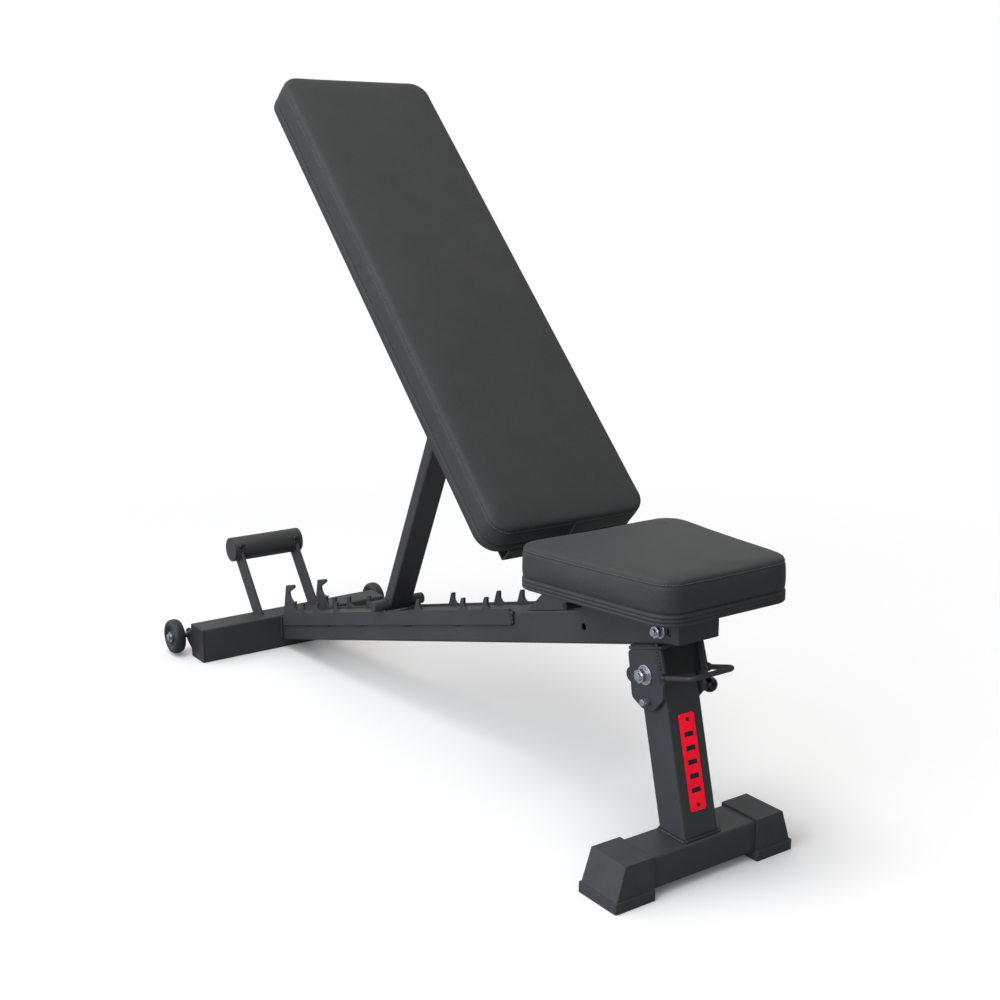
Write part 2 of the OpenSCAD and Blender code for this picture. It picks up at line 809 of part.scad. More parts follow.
// Folded channel: a top plate under the board, a front plate and a flange down each side.
module seat_bracket() {
    t = seat_flange_out - seat_flange_in;
    front = -39;
    web_end = 160;
    low = -12.4;
    flange = [
        [front, low, 1], [front, seat_base, 1], [202, seat_base, 4],
        [238, 34, 10], [241, -3.6, 3], [212, -15.6, 10], [60, -12.9, 20]
    ];
    color(steel) placed() difference() {
        on_seat() {
            for (side = [-1, 1])
                side_plate(side * (seat_flange_in + t / 2), t) difference() {
                    polygon(rounded(flange));
                    arc_slot(seat_pin_arc_r, seat_pin_r + gap, seat_pin_arc_a - 0.3,
                        seat_pin_arc_a + seat_drop + 0.3);
                    translate([front + 16, -3]) square([9, 11]);
                }
            translate([-seat_flange_in, front, seat_base - t])
                cube([2 * seat_flange_in, web_end - front, t]);
            translate([-seat_flange_in, front, low])
                cube([2 * seat_flange_in, t, seat_base - t - low]);
        }
        cross_rod(seat_pivot, -big / 2, big / 2, seat_bolt_r + fit);
        seat_bolt_holes();
    }
}

seat_bolt_x = 22;
seat_bolt_y = [10, 130];

module seat_bolt_holes() {
    on_seat() for (side = [-1, 1], y = seat_bolt_y)
        translate([side * seat_bolt_x, y, 0]) cylinder(h = seat_base + 10, r = pad_bolt_r);
}

module seat_board() {
    color(wood) placed() difference() {
        on_seat() translate([0, 0, seat_base]) linear_extrude(board_t) polygon(seat_plan(board_inset, 29));
        seat_bolt_holes();
    }
}

module seat_pad() {
    color(vinyl) placed() on_seat() translate([0, 0, seat_base]) difference() {
        union() {
            linear_extrude(seat_t - bevel) polygon(seat_plan(0, 38));
            translate([0, 0, seat_t - bevel]) linear_extrude(bevel / 2) polygon(seat_plan(bevel / 4, 36.5));
            translate([0, 0, seat_t - bevel / 2]) linear_extrude(bevel / 2) polygon(seat_plan(bevel, 32));
        }
        translate([0, 0, -eps]) linear_extrude(board_t + eps) polygon(seat_plan(board_inset, 29));
    }
}

module seat_pad_bolts() {
    t = seat_flange_out - seat_flange_in;
    color(zinc) placed() on_seat() for (side = [-1, 1], y = seat_bolt_y)
        translate([side * seat_bolt_x, y, seat_base - t]) {
            cylinder(h = t + 10, r = pad_bolt_r);
            translate([0, 0, -2.5]) cylinder(h = 2.5, r = 7, $fn = 6);
        }
}

module seat_pin_shank() {
    color(plastic) placed() cross_rod(seat_pin, -66, 70, seat_pin_r);
}

module seat_pin_knob() {
    color(plastic) placed() difference() {
        union() {
            translate([76, seat_pin[0], seat_pin[1]]) sphere(12);
            cross_rod(seat_pin, seat_flange_out + 1, 68, 8.5);
        }
        cross_rod(seat_pin, 0, 70, seat_pin_r);
    }
}

// ---- wheels ----

bearing_r = 11;
bearing_w = 6;
hub_r = 17;

module at_wheel(side) {
    translate([side * wheel_x, wheel_y, wheel_z]) rotate([0, 90, 0]) children();
}

module tyre(side) {
    round_r = 9;
    half = wheel_w / 2;
    color(rubber) placed() at_wheel(side) rotate_extrude($fn = 64) difference() {
        union() {
            translate([hub_r, -half]) square([wheel_r - round_r - hub_r, wheel_w]);
            translate([hub_r, round_r - half]) square([wheel_r - hub_r, wheel_w - 2 * round_r]);
            for (z = [round_r - half, half - round_r])
                translate([wheel_r - round_r, z]) circle(round_r);
        }
    }
}
module tyre_left() tyre(1);
module tyre_right() tyre(-1);

module hub(side) {
    half = wheel_w / 2 - 1;
    color(plastic) placed() at_wheel(side) rotate_extrude($fn = 64) difference() {
        translate([axle_r + 3, -half]) square([hub_r - axle_r - 3, 2 * half]);
        for (z = [-half - eps, half - bearing_w])
            translate([0, z]) square([bearing_r, bearing_w + eps]);
    }
}
module hub_left() hub(1);
module hub_right() hub(-1);

module bearings(side) {
    half = wheel_w / 2 - 1;
    color(zinc) placed() at_wheel(side) rotate_extrude($fn = 64)
        for (z = [-half, half - bearing_w])
            translate([axle_r + fit, z]) square([bearing_r - axle_r - fit, bearing_w]);
}
module bearings_left() bearings(1);
module bearings_right() bearings(-1);

main_beam();
beam_front_cap();
rack_plate_left();
rack_plate_right();
gusset_left();
gusset_right();
rear_foot_tube();
rear_foot_caps();
stand_bar();
stand_bar_discs();
stand_struts();
wheel_brackets();
wheel_axles();
bracket_plate_left();
bracket_plate_right();
bracket_front_plate();
bracket_top_plate();
fold_lug();
leg_pin_tip();
carry_handle();
leg_pivot_bolt();
backrest_pivot_bolt();
seat_pivot_bolt();
pivot_nuts();
pivot_washers();
front_post();
front_foot_tube();
foot_boot_left();
foot_boot_right();
badge_plate();
badge_screws();
leg_pin_shank();
leg_pin_knob();
backrest_spine();
backrest_cross_lower();
backrest_cross_upper();
backrest_lugs();
backrest_sleeve();
strut_lugs();
strut_hinge_bolt();
strut_hinge_nut();
backrest_board();
backrest_pad();
backrest_pad_bolts();
strut_tube();
strut_sleeve();
strut_cross_pin();
seat_bracket();
seat_board();
seat_pad();
seat_pad_bolts();
seat_pin_shank();
seat_pin_knob();
tyre_left();
tyre_right();
hub_left();
hub_right();
bearings_left();
bearings_right();
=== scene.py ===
import math
import random

import bmesh
import bpy
import numpy as np
from mathutils import Matrix, Vector
from mathutils.kdtree import KDTree
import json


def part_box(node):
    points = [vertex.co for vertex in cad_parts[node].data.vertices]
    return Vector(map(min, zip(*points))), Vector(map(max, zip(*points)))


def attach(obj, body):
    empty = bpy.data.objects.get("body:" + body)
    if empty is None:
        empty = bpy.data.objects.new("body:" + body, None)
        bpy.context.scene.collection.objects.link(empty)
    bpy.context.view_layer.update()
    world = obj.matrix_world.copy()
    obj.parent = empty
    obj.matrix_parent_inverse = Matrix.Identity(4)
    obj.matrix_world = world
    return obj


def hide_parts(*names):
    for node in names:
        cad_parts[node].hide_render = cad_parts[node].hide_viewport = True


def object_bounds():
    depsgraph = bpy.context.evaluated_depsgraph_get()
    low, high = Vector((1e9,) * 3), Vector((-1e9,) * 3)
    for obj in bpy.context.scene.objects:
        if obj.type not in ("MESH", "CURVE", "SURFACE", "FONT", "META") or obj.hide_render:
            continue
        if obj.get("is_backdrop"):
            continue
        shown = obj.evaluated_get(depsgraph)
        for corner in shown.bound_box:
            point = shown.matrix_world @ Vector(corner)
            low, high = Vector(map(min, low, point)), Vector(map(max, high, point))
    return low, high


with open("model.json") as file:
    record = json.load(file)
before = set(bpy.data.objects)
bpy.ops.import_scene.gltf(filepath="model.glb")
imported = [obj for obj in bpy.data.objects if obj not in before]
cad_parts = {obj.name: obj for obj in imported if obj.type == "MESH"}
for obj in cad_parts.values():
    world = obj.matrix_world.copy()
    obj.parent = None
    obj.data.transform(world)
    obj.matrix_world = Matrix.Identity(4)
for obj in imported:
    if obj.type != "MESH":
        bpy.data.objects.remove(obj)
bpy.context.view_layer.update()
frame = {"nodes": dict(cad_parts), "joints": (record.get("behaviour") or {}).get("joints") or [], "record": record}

# The looks of the adjustable weight bench: coats and softened edges on the CAD pieces; welds, tyres,
# badge bars and sewn cushions placed from the frame's joints and boxes; then camera, floor and light.

NODES = frame["nodes"]
SLOT_OF = {s["node"]: s["material_slot"] for s in frame["record"]["subparts"]}
JOINT = {j["name"]: j for j in frame["joints"]}
SCENE = bpy.context.scene
rng = random.Random(7)

BEAM_SLOPE = math.radians(15.2)
POST_LEAN = math.radians(14.0)
BACK_ANGLE = math.radians(45.9)
SEAT_SLOPE = math.radians(-0.8)


def joint_place(name):
    return Vector(JOINT[name]["pos_m"])


# the side profiles are measured in millimetres from a point under the front foot's middle
DATUM = joint_place("backrest_tilt") - Vector((0, 0.305, 0.400))


def at(x, y, z):
    """Point in millimetres from the datum: to the left, rearward and up."""
    return DATUM + Vector((x, y, z)) / 1000


def on_beam(x, s, h):
    """Point s along the beam from its rear end and h above its datum line, in millimetres."""
    c, k = math.cos(BEAM_SLOPE), math.sin(BEAM_SLOPE)
    return at(x, 1237 - s * c + h * k, 19 + s * k + h * c)


def on_post(x, back, up):
    """Point of the post: back from its axis, and up along it from the foot tube's top."""
    c, k = math.cos(POST_LEAN), math.sin(POST_LEAN)
    return at(x, 1.5 + back * c + up * k, 60 - back * k + up * c)


def on_back(x, along, out):
    """Point of the backrest: along it from its pivot, and out of its face."""
    c, k = math.cos(BACK_ANGLE), math.sin(BACK_ANGLE)
    return at(x, 305 + along * c - out * k, 400 + along * k + out * c)


def side_frame(origin, angle):
    """Matrix whose x is world x, y runs rearward and up at the angle, z is square to it."""
    c, s = math.cos(angle), math.sin(angle)
    rows = ((1, 0, 0, origin[0]), (0, c, -s, origin[1]), (0, s, c, origin[2]), (0, 0, 0, 1))
    return Matrix(rows)


# ---------------------------------------------------------------- materials


def math_node(tree, operation, a, b):
    """Math node over two sockets or numbers. Returns its output."""
    n = tree.nodes.new("ShaderNodeMath")
    n.operation = operation
    for socket, v in zip(n.inputs, (a, b)):
        if isinstance(v, (int, float)):
            socket.default_value = v
        else:
            tree.links.new(v, socket)
    return n.outputs[0]


class Shader:
    """Small helper for building one node material."""

    def __init__(self, name):
        self.m = bpy.data.materials.new(name)
        self.m.use_nodes = True
        self.t = self.m.node_tree
        self.t.nodes.clear()
        self.out = self.add("ShaderNodeOutputMaterial")
        self.bsdf = self.add("ShaderNodeBsdfPrincipled")
        self.link(self.bsdf.outputs["BSDF"], self.out.inputs["Surface"])
        self.coord = self.add("ShaderNodeTexCoord").outputs["Object"]

    def add(self, kind, **values):
        n = self.t.nodes.new(kind)
        for k, v in values.items():
            setattr(n, k, v)
        return n

    def link(self, a, b):
        self.t.links.new(a, b)

    def noise(self, scale, detail, rough=0.5, distortion=0.0):
        n = self.add("ShaderNodeTexNoise")
        n.inputs["Scale"].default_value = scale
        n.inputs["Detail"].default_value = detail
        n.inputs["Roughness"].default_value = rough
        n.inputs["Distortion"].default_value = distortion
        self.link(self.coord, n.inputs["Vector"])
        return n.outputs["Fac"]

    def cells(self, scale):
        n = self.add("ShaderNodeTexVoronoi", feature="SMOOTH_F1")
        n.inputs["Scale"].default_value = scale
        self.link(self.coord, n.inputs["Vector"])
        return n.outputs["Distance"]

    def spread(self, value, low, high, a, b, **settings):
        """Maps a value between low and high to a..b."""
        n = self.add("ShaderNodeMapRange", **settings)
        for k, v in zip(("From Min", "From Max", "To Min", "To Max"), (low, high, a, b)):
            n.inputs[k].default_value = v
        self.link(value, n.inputs["Value"])
        return n.outputs["Result"]

    def ramp(self, value, stops):
        n = self.add("ShaderNodeValToRGB")
        r = n.color_ramp
        while len(r.elements) < len(stops):
            r.elements.new(0.5)
        for e, (place, colour) in zip(r.elements, stops):
            e.position = place
            e.color = (*colour, 1.0)
        self.link(value, n.inputs["Fac"])
        return n.outputs["Color"]

    def math(self, operation, a, b):
        return math_node(self.t, operation, a, b)

    def bump(self, height, distance, strength=1.0, after=None):
        n = self.add("ShaderNodeBump")
        n.inputs["Distance"].default_value = distance
        n.inputs["Strength"].default_value = strength
        self.link(height, n.inputs["Height"])
        if after is not None:
            self.link(after, n.inputs["Normal"])
        return n.outputs["Normal"]

    def colour(self, socket):
        self.link(socket, self.bsdf.inputs["Base Color"])

    def rough(self, socket):
        self.link(socket, self.bsdf.inputs["Roughness"])

    def normal(self, socket):
        self.link(socket, self.bsdf.inputs["Normal"])

    def set(self, **values):
        """Shader inputs by name, with _ for the spaces."""
        for k, v in values.items():
            self.bsdf.inputs[k.replace("_", " ")].default_value = v


def around(colour, share):
    """The colour, made darker or lighter by a share."""
    return tuple(c * share for c in colour)


def powder_coat(name, colour=(0.0470, 0.0484, 0.0510), grain=1.0, rough=0.47):
    s = Shader(name)
    large = s.noise(9.0, 3.0)
    s.colour(s.ramp(large, [(0.3, around(colour, 0.90)), (0.7, around(colour, 1.10))]))
    fine = s.noise(1500.0, 2.0, 0.6)
    s.rough(s.spread(fine, 0.3, 0.7, rough - 0.06, rough + 0.08))
    peel = s.noise(420.0, 2.0, 0.5)
    n1 = s.bump(peel, 0.00022 * grain, 0.5)
    s.normal(s.bump(fine, 0.00012 * grain, 0.7, after=n1))
    s.set(Specular_IOR_Level=0.5)
    return s.m


def weld_metal(name):
    s = Shader(name)
    large = s.noise(160.0, 3.0)
    s.colour(s.ramp(large, [(0.3, (0.019, 0.020, 0.021)), (0.75, (0.034, 0.035, 0.037))]))
    s.rough(s.spread(large, 0.3, 0.7, 0.34, 0.5))
    s.normal(s.bump(s.noise(700.0, 3.0), 0.0005, 0.6))
    return s.m


def zinc_plate(name):
    s = Shader(name)
    tint, rough = (0.70, 0.73, 0.78), 0.27
    patches = s.noise(260.0, 3.0)
    s.colour(s.ramp(patches, [(0.3, around(tint, 0.86)), (0.7, around(tint, 1.06))]))
    s.rough(s.spread(patches, 0.3, 0.7, rough - 0.07, rough + 0.1))
    s.normal(s.bump(s.noise(1400.0, 2.0), 0.00006, 0.6))
    s.set(Metallic=1.0)
    return s.m


def moulded(name, colour, rough, grain, scale, spec):
    s = Shader(name)
    soft = s.noise(30.0, 3.0)
    s.colour(s.ramp(soft, [(0.3, around(colour, 0.88)), (0.7, around(colour, 1.12))]))
    fine = s.noise(scale, 2.0)
    s.rough(s.spread(fine, 0.3, 0.7, rough - 0.05, rough + 0.06))
    s.normal(s.bump(fine, grain, 0.6))
    s.set(Specular_IOR_Level=spec)
    return s.m


def grained_vinyl(name):
    s = Shader(name)
    colour, rough = (0.040, 0.0396, 0.0392), 0.60
    shade = s.noise(14.0, 4.0, 0.55)
    mottled = s.noise(230.0, 3.0, 0.6)
    mix = s.math("ADD", s.math("MULTIPLY", shade, 0.55), s.math("MULTIPLY", mottled, 0.45))
    s.colour(s.ramp(mix, [(0.32, around(colour, 0.86)), (0.68, around(colour, 1.14))]))
    pebbles = s.cells(760.0)
    fine = s.noise(1900.0, 2.0, 0.6)
    creases = s.noise(300.0, 4.0, 0.6, distortion=0.6)
    s.rough(s.spread(fine, 0.3, 0.7, rough - 0.05, rough + 0.07))
    n1 = s.bump(pebbles, 0.00030, 0.55)
    n2 = s.bump(creases, 0.00028, 0.5, after=n1)
    s.normal(s.bump(fine, 0.00010, 0.5, after=n2))
    s.set(Specular_IOR_Level=0.42, Sheen_Weight=0.06, Sheen_Roughness=0.4)
    return s.m


def thread(name):
    s = Shader(name)
    twist = s.noise(900.0, 2.0, 0.5)
    s.colour(s.ramp(twist, [(0.3, (0.13, 0.13, 0.13)), (0.7, (0.26, 0.26, 0.26))]))
    s.rough(s.spread(twist, 0.3, 0.7, 0.5, 0.7))
    s.normal(s.bump(twist, 0.0002, 0.5))
    return s.m


def board_cloth(name):
    s = Shader(name)
    weave = s.noise(700.0, 3.0)
    s.colour(s.ramp(weave, [(0.3, (0.012, 0.012, 0.012)), (0.7, (0.024, 0.024, 0.024))]))
    s.rough(s.spread(weave, 0.3, 0.7, 0.72, 0.85))
    s.normal(s.bump(weave, 0.0004, 0.6))
    return s.m


def red_paint(name):
    s = Shader(name)
    soft = s.noise(60.0, 3.0)
    s.colour(s.ramp(soft, [(0.3, (0.62, 0.002, 0.016)), (0.7, (0.74, 0.003, 0.022))]))
    fine = s.noise(1300.0, 2.0)
    s.rough(s.spread(fine, 0.3, 0.7, 0.38, 0.5))
    s.normal(s.bump(fine, 0.00010, 0.6))
    s.set(Specular_IOR_Level=0.25)
    return s.m


MAT = {
    "steel": powder_coat("powder_coat"),
    "zinc": zinc_plate("zinc_plate"),
    "rubber": moulded("matt_rubber", (0.052, 0.0525, 0.054), 0.58, 0.0003, 700.0, 0.45),
    "tyre": moulded("tyre_rubber", (0.028, 0.028, 0.030), 0.42, 0.0001, 900.0, 0.5),
    "plastic": moulded("black_plastic", (0.014, 0.0142, 0.015), 0.36, 0.0001, 800.0, 0.5),
    "vinyl": grained_vinyl("grained_vinyl"),
    "board": board_cloth("board_cloth"),
    "badge": red_paint("red_paint"),
}
WELD = weld_metal("weld_bead")
THREAD = thread("seam_thread")
GLOSS = moulded("gloss_knob", (0.008, 0.008, 0.008), 0.14, 0.00004, 300.0, 0.55)
PIN_BLACK = moulded("black_pin", (0.012, 0.012, 0.013), 0.34, 0.0001, 900.0, 0.5)
END_CAP = moulded("end_cap", (0.040, 0.041, 0.044), 0.44, 0.0001, 800.0, 0.5)
# a darker copy of the powder coat: painted shade for the bracket's front plate, which is the same steel as the
# rest of the frame
SHADED_FRONT_COAT = powder_coat("painted_shade_coat", (0.014, 0.014, 0.014), 0.8, 0.5)
DISC = powder_coat("disc_coat", (0.050, 0.054, 0.060), 0.8, 0.42)

for node, obj in NODES.items():
    obj.data.materials.clear()
    obj.data.materials.append(MAT[SLOT_OF[node]])
for node in ("leg_pin_knob", "seat_pin_knob"):
    NODES[node].data.materials[0] = GLOSS
for node in ("seat_pin_shank", "badge_screws"):
    NODES[node].data.materials[0] = PIN_BLACK
NODES["stand_bar_discs"].data.materials[0] = DISC
# painted shade: the bracket's front plate gets a darker copy of the same powder coat
NODES["bracket_front_plate"].data.materials[0] = SHADED_FRONT_COAT
NODES["rear_foot_caps"].data.materials[0] = END_CAP


SHARP = 32.0  # an edge that turns by more degrees than this is rounded


def soften(node, width, segments):
    """Rounds the sharp edges of a CAD node in the render, without touching its own vertices."""
    obj = NODES[node]
    weld = obj.modifiers.new("weld", "WELD")
    weld.merge_threshold = 2e-5
    flat = obj.modifiers.new("flat", "DECIMATE")
    flat.decimate_type = "DISSOLVE"
    flat.angle_limit = math.radians(0.6)
    bev = obj.modifiers.new("round", "BEVEL")
    bev.width = width
    bev.segments = segments
    bev.limit_method = "ANGLE"
    bev.angle_limit = math.radians(SHARP)
    bev.harden_normals = False
    bev.use_clamp_overlap = True
    bev.miter_outer = "MITER_ARC"


# ---------------------------------------------------------------- mesh helpers


def mesh_object(name, verts, faces, material, smooth=True):
    me = bpy.data.meshes.new(name)
    me.from_pydata([tuple(v) for v in verts], [], faces)
    me.validate()
    me.update()
    if smooth:
        me.polygons.foreach_set("use_smooth", [True] * len(me.polygons))
    obj = bpy.data.objects.new(name, me)
    SCENE.collection.objects.link(obj)
    me.materials.append(material)
    return obj


class Pile:
    """Collects many small solids into one mesh."""

    def __init__(self):
        self.verts = []
        self.faces = []

    def add(self, verts, faces):
        first = len(self.verts)
        self.verts += [Vector(v) for v in verts]
        self.faces += [tuple(i + first for i in f) for f in faces]

    def make(self, name, material, smooth=True):
        return mesh_object(name, self.verts, self.faces, material, smooth)


def axes_for(level):
    """A level direction, straight up, and the direction square to both."""
    d, u = Vector(level), Vector((0, 0, 1))
    return d, u, d.cross(u)


def ring_points(centre, u, w, radius, count):
    """Points of a full circle in the plane of u and w."""
    turns = [2 * math.pi * i / count for i in range(count)]
    return [centre + (u * math.cos(a) + w * math.sin(a)) * radius for a in turns]


def band_faces(rings, count):
    """Quads that join each ring of count points to the next one."""
    faces = []
    for i in range(rings - 1):
        here, there = i * count, (i + 1) * count
        for k in range(count):
            q = (k + 1) % count
            faces.append((here + k, here + q, there + q, there + k))
    return faces


def lathe(profile, centre, axis, sides):
    """Closed turned solid: profile is [(along, radius)], from one end to the other."""
    d, u, w = axes_for(axis)
    verts, faces, rows = [], [], []
    for along, r in profile:
        ring = [centre + d * along] if r <= 1e-6 else ring_points(centre + d * along, u, w, r, sides)
        rows.append(range(len(verts), len(verts) + len(ring)))
        verts += ring
    for a, b in zip(rows, rows[1:]):
        for i in range(sides):
            j = (i + 1) % sides
            if len(a) == 1:
                faces.append((a[0], b[j], b[i]))
            elif len(b) == 1:
                faces.append((a[i], a[j], b[0]))
            else:
                faces.append((a[i], a[j], b[j], b[i]))
    for end in (tuple(reversed(rows[0])), tuple(rows[-1])):
        if len(end) > 1:
            faces.append(end)
    return verts, faces


def tube_path(points, radius, sides):
    """Round rod along points. radius is a number or one per point."""
    points = [Vector(p) for p in points]
    n = len(points)
    verts = []
    up = Vector((0.31, 0.17, 0.93)).normalized()
    for i, p in enumerate(points):
        d = (points[min(i + 1, n - 1)] - points[max(i - 1, 0)]).normalized()
        up = (up - d * up.dot(d)).normalized()
        r = radius if isinstance(radius, (int, float)) else radius[i]
        verts += ring_points(p, up, d.cross(up), r, sides)
    ends = [tuple(reversed(range(sides))), tuple(range((n - 1) * sides, n * sides))]
    return verts, band_faces(n, sides) + ends


# ---------------------------------------------------------------- welds


BEAD_SIDES, STEPS_PER_RIPPLE, FEWEST_STEPS = 9, 4, 4
BEAD_BASE, BEAD_RIPPLE, BEAD_SLOW, BEAD_BUMP = 0.78, 0.26, 0.10, 0.125  # shares of a bead's radius
SLOW_WAVE = 160  # radians per metre of the bead's slow swelling
BEAD_END, BEAD_TAPER = 0.45, 8.0  # the radius at the very ends, and how soon it is full
RING_RUN = 0.004  # about the length of each run of a ring


def weld_bead(pile, a, b, r, pitch=0.0042):
    """A run of overlapping ripples from a to b."""
    length = (b - a).length
    steps = max(FEWEST_STEPS, int(length / (pitch / STEPS_PER_RIPPLE)))
    points, radii = [], []
    phase = rng.random() * 6
    for _ in range(steps + 1):
        rng.uniform(-1, 1)  # not used: it keeps the later draws as they are
    for i in range(steps + 1):
        t = i / steps
        along = length * t
        ripple = abs(math.sin(math.pi * along / pitch + phase))
        bump = rng.uniform(-BEAD_BUMP, BEAD_BUMP) if i % STEPS_PER_RIPPLE == 0 else 0
        slow = math.sin(along * SLOW_WAVE + phase) * BEAD_SLOW
        end = min(1.0, BEAD_END + BEAD_TAPER * min(t, 1 - t))
        radii.append(r * (BEAD_BASE + BEAD_RIPPLE * ripple + slow + bump) * end)
        points.append(a.lerp(b, t))
    pile.add(*tube_path(points, radii, BEAD_SIDES))


def weld_blob(pile, centre, r, flat=(1, 1, 1)):
    """A lump of weld metal."""
    bm = bmesh.new()
    bmesh.ops.create_icosphere(bm, subdivisions=2, radius=r)
    for v in bm.verts:
        v.co = Vector(c * k for c, k in zip(v.co, flat)) * (1 + rng.uniform(-0.12, 0.12))
        v.co += centre
    pile.add([v.co.copy() for v in bm.verts], [tuple(v.index for v in f.verts) for f in bm.faces])
    bm.free()


def weld_ring(pile, centre, axis, radius, r):
    """A bead round a bar."""
    _, u, w = axes_for(axis)
    ring = ring_points(centre, u, w, radius, int(2 * math.pi * radius / RING_RUN))
    for a, b in zip(ring, ring[1:] + ring[:1]):
        weld_bead(pile, a, b, r)


STAND_BAR, STAND_BAR_R = (1388, 189.2), 26.6  # the round bar's middle, rearward and up, and its weld's radius
STAND_X, WHEEL_X = 66.5, 212  # how far the stand's bars and the wheel brackets are from the middle
FOOT_TOP = 69.4  # a bead on the rear foot tube's top


def on_stand_bar(x, degrees):
    """Point on the round bar's weld, turned up from straight back."""
    a = math.radians(degrees)
    return at(x, STAND_BAR[0] + STAND_BAR_R * math.cos(a), STAND_BAR[1] + STAND_BAR_R * math.sin(a))


frame_weld, leg_weld, back_weld, strut_weld = Pile(), Pile(), Pile(), Pile()

# round the post's foot
for a, b in (((-35, -27.6), (35, -27.6)), ((-35.4, -27), (-35.4, 30)),
             ((35.4, -27), (35.4, 30)), ((-35, 30.4), (35, 30.4))):
    weld_bead(leg_weld, at(*a, 60.8), at(*b, 60.8), 0.0031, 0.0047)

for side in (-1, 1):
    # leg bracket: its front edge, its line under the beam, the handle's ends and the eye lug
    weld_bead(frame_weld, on_post(side * 41.2, -33.6, 286), on_post(side * 41.2, -34.6, 244), 0.0030, 0.0050)
    weld_bead(frame_weld, on_post(side * 40.2, -33.0, 236), on_post(side * 40.2, -31.5, 226), 0.0026, 0.0044)
    weld_bead(frame_weld, on_beam(side * 36.8, 1178, -4.2), on_beam(side * 36.8, 1243, -4.2), 0.0024, 0.0046)
    weld_blob(frame_weld, at(side * 42.5, 18.5, 298.5), 0.0062, (1.0, 1.15, 1.0))
    weld_blob(frame_weld, at(side * 42.0, 23.0, 296.0), 0.0046, (1.0, 1.3, 1.0))
    # rack plates: stitch welds along the foot, and both ends
    for s0, s1 in ((120, 138), (205, 226), (340, 366), (520, 548), (690, 716), (842, 878)):
        weld_bead(frame_weld, on_beam(side * 36.2, s0, 26.3), on_beam(side * 36.2, s1, 26.3), 0.0017, 0.0040)
    weld_bead(frame_weld, on_beam(side * 36.8, 883, 28), on_beam(side * 36.8, 882, 50), 0.0029, 0.0058)
    weld_blob(frame_weld, on_beam(side * 36.4, 885, 46), 0.0042)
    weld_bead(frame_weld, on_beam(side * 36.4, 18, 33), on_beam(side * 36.4, 26, 48), 0.0020, 0.0044)
    # gusset feet on the beam
    weld_bead(frame_weld, on_beam(side * 33.8, 926, 50.4), on_beam(side * 33.8, 1086, 50.4), 0.0012, 0.0040)
    # beam to rear foot
    weld_bead(frame_weld, at(side * 37.2, 1239.6, 16), at(side * 37.2, 1239.6, 67), 0.0032, 0.0052)
    weld_bead(frame_weld, at(side * 18, 1239.6, FOOT_TOP), at(side * 35, 1239.6, FOOT_TOP), 0.0022, 0.0046)
    # stand: the bars' feet on the rear foot, and their tops on the round bar
    for face in (-1, 1):
        x = side * STAND_X + face * 4.2
        weld_bead(frame_weld, at(x, 1273, FOOT_TOP), at(x, 1299, FOOT_TOP), 0.0022, 0.0046)
        for turn in range(152, 242, 18):
            weld_bead(frame_weld, on_stand_bar(x, turn), on_stand_bar(x, turn + 18), 0.0024, 0.0050)
    x = side * STAND_X
    weld_bead(frame_weld, at(x - 3, 1271.6, 69.6), at(x + 3, 1271.6, 69.6), 0.0026)
    weld_blob(frame_weld, at(x - 3.0, 1363.4, 200.6), 0.0048)
    weld_blob(frame_weld, at(x + 2.0, 1364.6, 203.0), 0.0040)
    # wheel brackets
    for face in (-1, 1):
        x = side * WHEEL_X + face * 4.0
        weld_bead(frame_weld, at(x, 1302, 6), at(x, 1302, 48), 0.0022, 0.0046)
    # backrest: lugs, cross tubes and the strut's lugs
    weld_bead(back_weld, on_back(side * 27, 25, -14), on_back(side * 27, 25, 9), 0.0020)
    weld_bead(back_weld, on_back(side * 26, 56.8, -7.5), on_back(side * 26, 56.8, 9), 0.0021)
    weld_bead(back_weld, on_back(side * 26, 756, -7.5), on_back(side * 60, 756, -7.5), 0.0021)
    weld_bead(back_weld, on_back(side * 26.4, 386, -9.6), on_back(side * 26.4, 412, -9.6), 0.0022)
    # cross pin through the strut's foot
    weld_ring(strut_weld, on_beam(side * 25.3, 451, 64.8), (side, 0, 0), 0.0112, 0.0018)

for name, pile, body in (("frame_welds", frame_weld, "frame"), ("leg_welds", leg_weld, "leg"),
                         ("backrest_welds", back_weld, "backrest"), ("strut_welds", strut_weld, "strut")):
    o = pile.make(name, WELD)
    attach(o, body)

# ---------------------------------------------------------------- edges of the metal and rubber parts

for nodes, width, segments in (
    (("foot_boot_left", "foot_boot_right"), 0.0026, 3),
    (("rear_foot_caps", "beam_front_cap"), 0.0014, 2),
    (("rack_plate_left", "rack_plate_right", "gusset_left", "gusset_right"), 0.0006, 2),
    (("bracket_plate_left", "bracket_plate_right", "bracket_front_plate", "bracket_top_plate"), 0.0008, 2),
    (("stand_struts", "wheel_brackets", "seat_bracket", "strut_lugs", "backrest_lugs"), 0.0006, 2),
    (("badge_plate", "fold_lug"), 0.0004, 2),
    (("pivot_nuts", "leg_pivot_bolt", "seat_pivot_bolt", "backrest_pivot_bolt", "pivot_washers"), 0.0007, 2),
    (("strut_hinge_bolt", "strut_hinge_nut", "leg_pin_tip", "seat_pin_shank", "wheel_axles"), 0.0007, 2),
    (("strut_cross_pin", "stand_bar"), 0.0010, 2),
):
    for node in nodes:
        soften(node, width, segments)

# ---------------------------------------------------------------- wheels

HUB_R, TREAD_R, WHEEL_HALF = 0.0202, 0.0364, 0.0120
RECESS = 0.0060  # how deep the hub lies inside the tyre's side
LAP = 0.0006  # how far the tyre runs in over the hub's rim
SQUARENESS = 0.82  # 1 would give the tyre an oval section, less makes it squarer


def squared(v):
    return math.copysign(abs(v) ** SQUARENESS, v)


